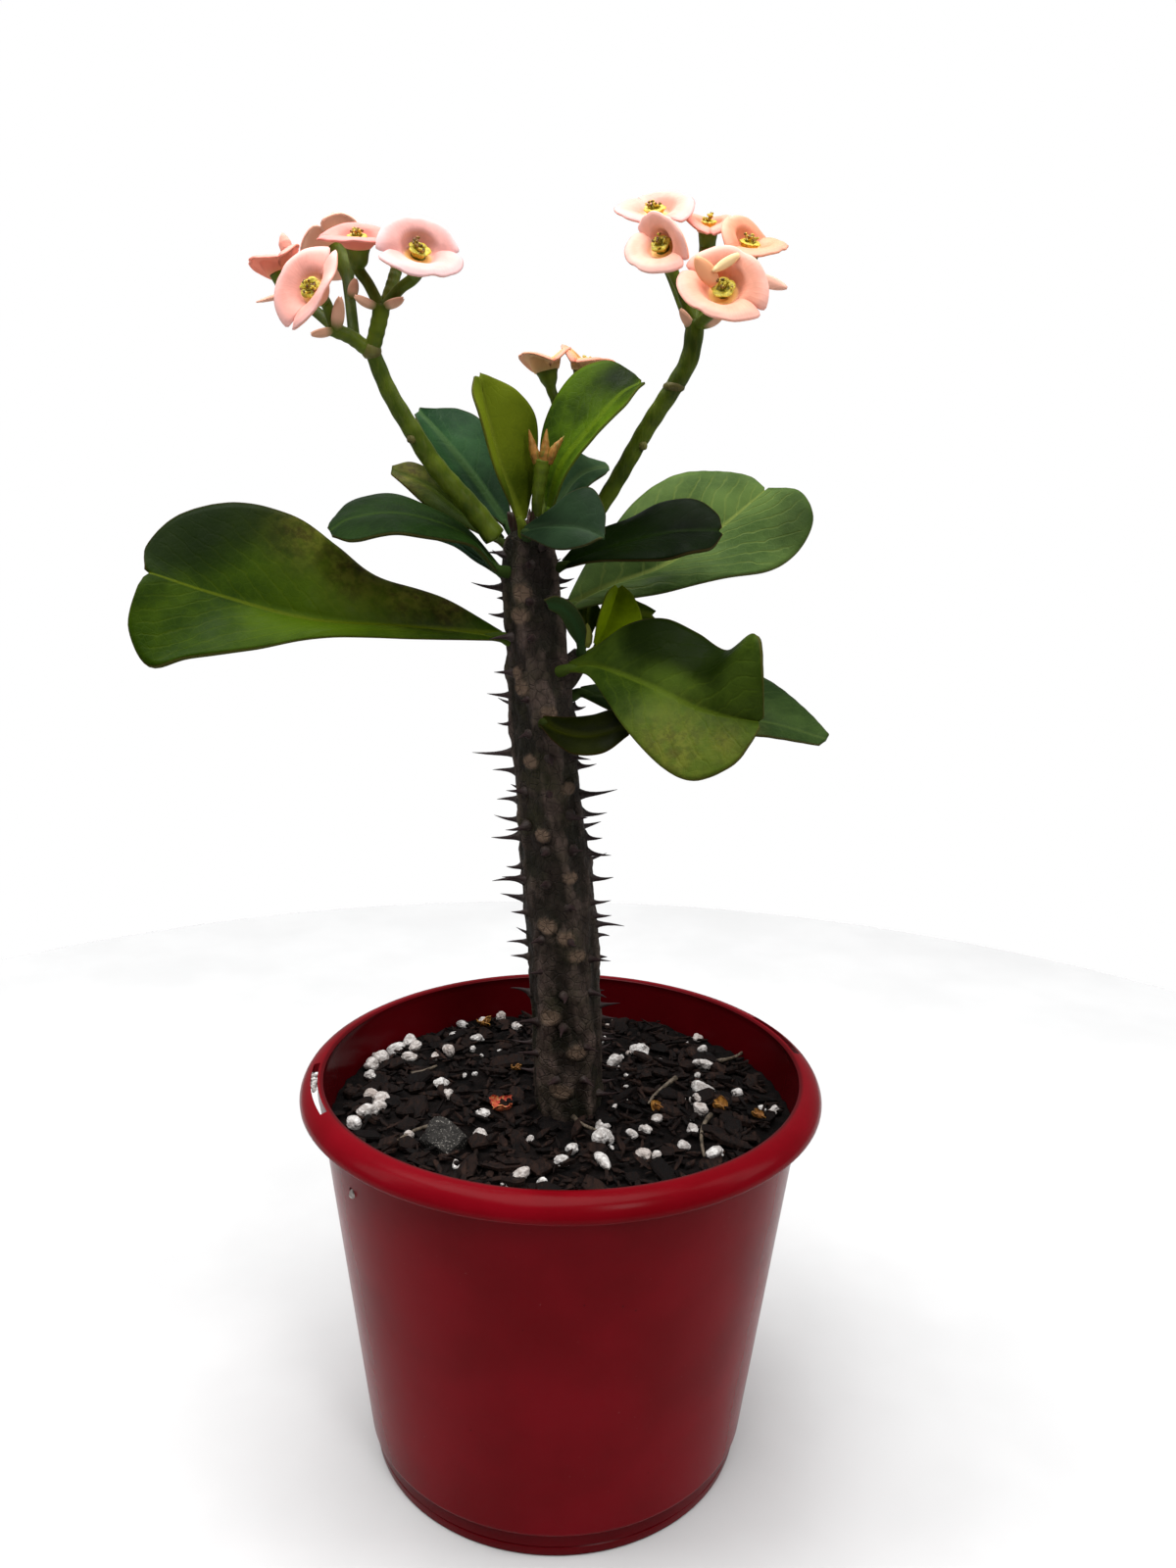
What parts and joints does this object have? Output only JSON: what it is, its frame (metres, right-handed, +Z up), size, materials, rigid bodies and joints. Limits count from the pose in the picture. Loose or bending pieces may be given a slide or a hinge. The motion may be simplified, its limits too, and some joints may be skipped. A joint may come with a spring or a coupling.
{
  "type": "potted crown of thorns plant",
  "caption": "Crown of thorns plant with a spiny upright stem, broad leaves and salmon-pink flower clusters in a red plastic nursery pot.",
  "frame": {"origin": "centre of the pot's flat base, on the surface it stands on", "axes": "+Z up along the pot's axis, +X to the right of the picture, +Y away from its camera"},
  "size_m": [0.1692, 0.14, 0.3354],
  "materials": {
    "pot_plastic": "glossy",
    "potting_mix": "matte",
    "stem_bark": "matte",
    "stalk_green": "satin",
    "leaf_green": "satin",
    "leaf_dark": "satin",
    "leaf_young": "satin",
    "bract_pink": "satin",
    "bract_peach": "satin",
    "flower_centre": "satin"
  },
  "bodies": {
    "root": {"bloom_left_back": "bract_pink", "bloom_left_back_centre": "flower_centre", "bloom_left_front": "bract_pink", "bloom_left_front_centre": "flower_centre", "bloom_left_inner": "bract_pink", "bloom_left_inner_centre": "flower_centre", "bloom_left_outer": "bract_pink", "bloom_left_outer_centre": "flower_centre", "bloom_left_top": "bract_pink", "bloom_left_top_centre": "flower_centre", "bloom_right_back": "bract_pink", "bloom_right_back_centre": "flower_centre", "bloom_right_front": "bract_pink", "bloom_right_front_centre": "flower_centre", "bloom_right_left": "bract_pink", "bloom_right_left_centre": "flower_centre", "bloom_right_middle": "bract_pink", "bloom_right_middle_centre": "flower_centre", "bloom_right_top": "bract_pink", "bloom_right_top_centre": "flower_centre", "bloom_young_left": "bract_peach", "bloom_young_left_centre": "flower_centre", "bloom_young_right": "bract_peach", "bloom_young_right_centre": "flower_centre", "bud_left_back": "bract_pink", "bud_left_high": "bract_pink", "bud_left_outer": "bract_pink", "leaf_back_bluish": "leaf_dark", "leaf_back_left": "leaf_dark", "leaf_front_bluish": "leaf_dark", "leaf_front_large": "leaf_green", "leaf_hidden_left": "leaf_green", "leaf_left_dark": "leaf_dark", "leaf_low_left_large": "leaf_green", "leaf_right_behind": "leaf_green", "leaf_right_dark": "leaf_dark", "leaf_right_pale": "leaf_green", "leaf_shoot_arched": "leaf_dark", "leaf_shoot_behind": "leaf_green", "leaf_shoot_pale": "leaf_green", "leaf_shoot_upright": "leaf_young", "leaf_small_left": "leaf_green", "leaf_small_lower": "leaf_green", "leaf_young_left": "leaf_young", "leaf_young_right": "leaf_young", "pot": "pot_plastic", "shoot_bud": "leaf_young", "soil": "potting_mix", "stalk_buds": "stalk_green", "stalk_left": "stalk_green", "stalk_middle": "stalk_green", "stalk_right": "stalk_green", "stem": "stem_bark"}
  },
  "joints": []
}
